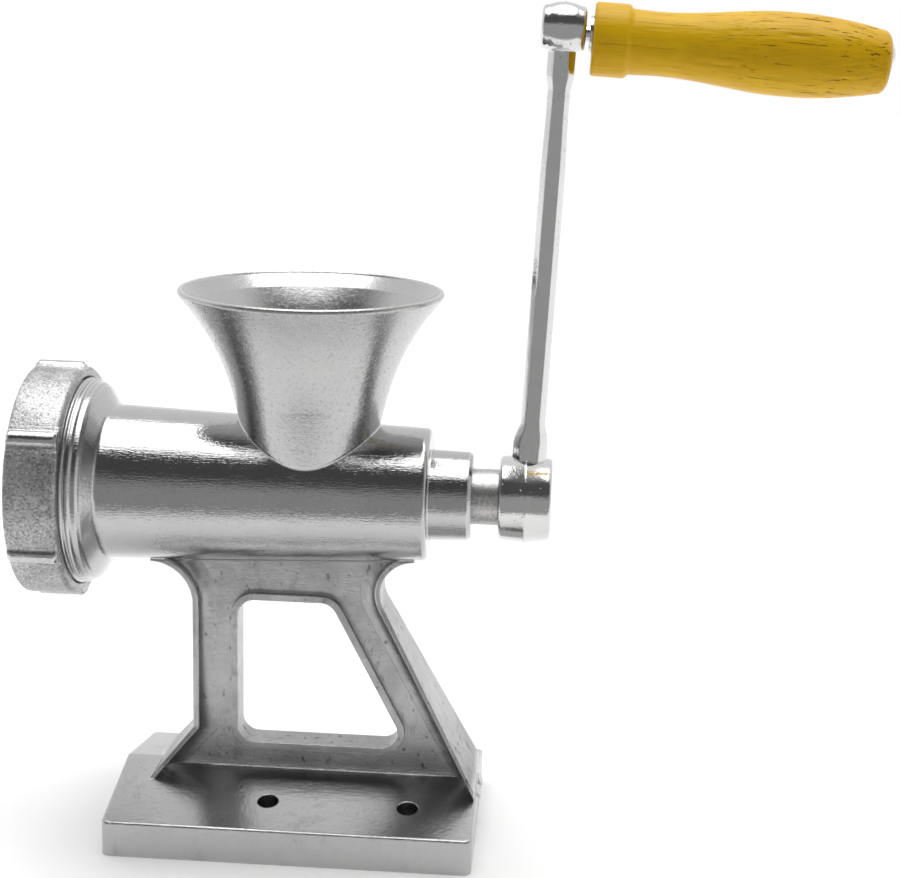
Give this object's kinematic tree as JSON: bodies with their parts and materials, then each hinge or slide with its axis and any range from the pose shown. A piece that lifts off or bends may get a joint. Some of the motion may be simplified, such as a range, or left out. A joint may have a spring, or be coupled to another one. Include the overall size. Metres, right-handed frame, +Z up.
{
  "type": "hand crank meat grinder",
  "caption": "Hand-cranked meat grinder: cast aluminium barrel with flared hopper on a screw-down stand, ribbed ring nut, auger, knife, plate and crank with a turned wooden grip.",
  "frame": {"origin": "centre of the stand's underside", "axes": "+X along the barrel from the ring nut to the crank, +Z up, +Y away from the side with the crank to the right"},
  "size_m": [0.267, 0.0848, 0.2725],
  "materials": {
    "cast_aluminium": "polished die casting with fine scratches",
    "nut_aluminium": "satin casting with polished ribs",
    "auger_metal": "dull casting",
    "tool_steel": "ground",
    "washer_plastic": "smooth moulded",
    "crank_plating": "bright plating over a casting",
    "fastener_steel": "bright plated",
    "varnished_wood": "yellow varnished hardwood"
  },
  "bodies": {
    "casting": {"body_casting": "cast_aluminium", "plate_key": "tool_steel"},
    "plate": {"grinding_plate": "tool_steel"},
    "nut": {"ring_nut": "nut_aluminium"},
    "crank": {"feed_auger": "auger_metal", "auger_stub": "tool_steel", "thrust_washer": "washer_plastic", "cross_knife": "tool_steel", "crank_arm": "crank_plating", "crank_washer": "fastener_steel", "crank_screw": "fastener_steel", "grip_bolt": "fastener_steel", "grip_washer": "fastener_steel"},
    "grip": {"wooden_grip": "varnished_wood"}
  },
  "joints": [
    {"name": "crank_spin", "type": "hinge", "parent": "casting", "child": "crank", "pos_m": [0, 0, 0.1158], "axis": [1, 0, 0], "continuous": true},
    {"name": "grip_spin", "type": "hinge", "parent": "crank", "child": "grip", "pos_m": [0.07854, 0, 0.26189], "axis": [0.9986, 0, -0.0523], "continuous": true},
    {"name": "plate_slide", "type": "slide", "parent": "casting", "child": "plate", "axis": [-1, 0, 0], "range_m": [0, 0.014]},
    {"name": "nut_turn", "type": "hinge", "parent": "plate", "child": "nut", "pos_m": [-0.08, 0, 0.1158], "axis": [-1, 0, 0], "range_deg": [0, 2520]}
  ],
  "couplings": [
    {"joint": "plate_slide", "follows": "nut_turn", "m_per_rad": 0.00031831}
  ]
}
